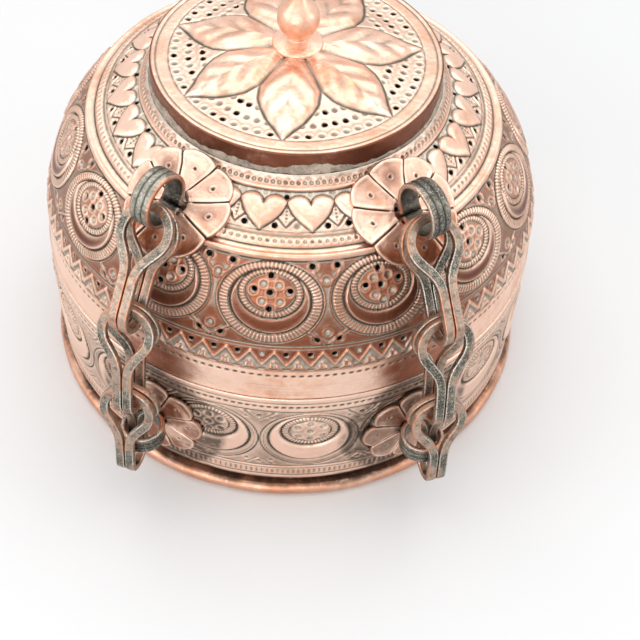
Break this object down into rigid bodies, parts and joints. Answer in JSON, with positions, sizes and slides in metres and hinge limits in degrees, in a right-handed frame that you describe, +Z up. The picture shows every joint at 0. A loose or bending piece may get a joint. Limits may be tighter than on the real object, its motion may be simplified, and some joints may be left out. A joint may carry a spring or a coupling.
{
  "type": "betel box",
  "caption": "Round domed metal betel box: hinged-back lid held by short strip-link chains, lift-out tray with cups inside.",
  "frame": {"origin": "centre of the flat underside, on the table", "axes": "+Z up along the axis of the box; the two chains and the lid's hinge line are on the -Y side; +X to the right when the chains face the viewer"},
  "size_m": [0.238, 0.247, 0.1982],
  "materials": {
    "copper": "chased sheet copper, tinned once and worn back to bare metal on the high parts",
    "worn_tin": "tinned copper strip, grey, with bare copper on worn edges",
    "tin": "tinned copper, dull grey"
  },
  "bodies": {
    "base": {"base_wall": "copper", "base_floor": "copper", "foot_ring": "copper", "lid_collar": "tin", "tray_ledge": "tin", "base_staple_left": "worn_tin", "base_staple_right": "worn_tin", "base_rosette_left": "copper", "base_rosette_right": "copper", "base_washer_left": "worn_tin", "base_washer_right": "worn_tin"},
    "lid": {"lid_dome": "copper", "lid_top_plate": "copper", "finial": "copper", "finial_washer": "worn_tin", "lid_staple_left": "worn_tin", "lid_staple_right": "worn_tin", "lid_rosette_left": "copper", "lid_rosette_right": "copper", "lid_washer_left": "worn_tin", "lid_washer_right": "worn_tin"},
    "chain_left_link_1": {"chain_left_link_1": "worn_tin"},
    "chain_left_link_2": {"chain_left_link_2": "worn_tin"},
    "chain_left_link_3": {"chain_left_link_3": "worn_tin"},
    "chain_right_link_1": {"chain_right_link_1": "worn_tin"},
    "chain_right_link_2": {"chain_right_link_2": "worn_tin"},
    "chain_right_link_3": {"chain_right_link_3": "worn_tin"},
    "tray": {"tray": "tin", "tray_knob": "tin", "tray_knob_washer": "worn_tin"},
    "cup_1": {"cup_1": "tin"},
    "cup_2": {"cup_2": "tin"},
    "cup_3": {"cup_3": "tin"},
    "cup_4": {"cup_4": "tin"},
    "cup_5": {"cup_5": "tin"}
  },
  "joints": [
    {"name": "lid_hinge", "type": "hinge", "parent": "base", "child": "lid", "pos_m": [0, -0.115, 0.074], "axis": [1, 0, 0], "range_deg": [0, 75]},
    {"name": "chain_left_link_1_swing", "type": "hinge", "parent": "lid", "child": "chain_left_link_1", "pos_m": [-0.05253, -0.07788, 0.15389], "axis": [1, 0, 0], "range_deg": [-2.4, 0]},
    {"name": "chain_left_link_2_swing", "type": "hinge", "parent": "chain_left_link_1", "child": "chain_left_link_2", "pos_m": [-0.06328, -0.10588, 0.11975], "axis": [1, 0, 0], "range_deg": [0, 5.2]},
    {"name": "chain_left_link_3_swing", "type": "hinge", "parent": "chain_left_link_2", "child": "chain_left_link_3", "pos_m": [-0.06503, -0.11697, 0.07928], "axis": [1, 0, 0], "range_deg": [-70, 0]},
    {"name": "chain_right_link_1_swing", "type": "hinge", "parent": "lid", "child": "chain_right_link_1", "pos_m": [0.05253, -0.07788, 0.15389], "axis": [1, 0, 0], "range_deg": [-2.4, 0]},
    {"name": "chain_right_link_2_swing", "type": "hinge", "parent": "chain_right_link_1", "child": "chain_right_link_2", "pos_m": [0.06328, -0.10588, 0.11975], "axis": [1, 0, 0], "range_deg": [0, 5.2]},
    {"name": "chain_right_link_3_swing", "type": "hinge", "parent": "chain_right_link_2", "child": "chain_right_link_3", "pos_m": [0.06503, -0.11697, 0.07928], "axis": [1, 0, 0], "range_deg": [-70, 0]},
    {"name": "tray_lift", "type": "slide", "parent": "base", "child": "tray", "axis": [0, 0, 1], "range_m": [0, 0.03]},
    {"name": "cup_1_lift", "type": "slide", "parent": "tray", "child": "cup_1", "axis": [0, 0, 1], "range_m": [0, 0.034]},
    {"name": "cup_2_lift", "type": "slide", "parent": "tray", "child": "cup_2", "axis": [0, 0, 1], "range_m": [0, 0.034]},
    {"name": "cup_3_lift", "type": "slide", "parent": "tray", "child": "cup_3", "axis": [0, 0, 1], "range_m": [0, 0.034]},
    {"name": "cup_4_lift", "type": "slide", "parent": "tray", "child": "cup_4", "axis": [0, 0, 1], "range_m": [0, 0.034]},
    {"name": "cup_5_lift", "type": "slide", "parent": "tray", "child": "cup_5", "axis": [0, 0, 1], "range_m": [0, 0.034]}
  ],
  "couplings": [
    {"joint": "chain_left_link_1_swing", "follows": "lid_hinge", "ratio": -0.03},
    {"joint": "chain_left_link_2_swing", "follows": "lid_hinge", "ratio": 0.066},
    {"joint": "chain_left_link_3_swing", "follows": "lid_hinge", "ratio": -0.928},
    {"joint": "chain_right_link_1_swing", "follows": "lid_hinge", "ratio": -0.03},
    {"joint": "chain_right_link_2_swing", "follows": "lid_hinge", "ratio": 0.066},
    {"joint": "chain_right_link_3_swing", "follows": "lid_hinge", "ratio": -0.928}
  ]
}
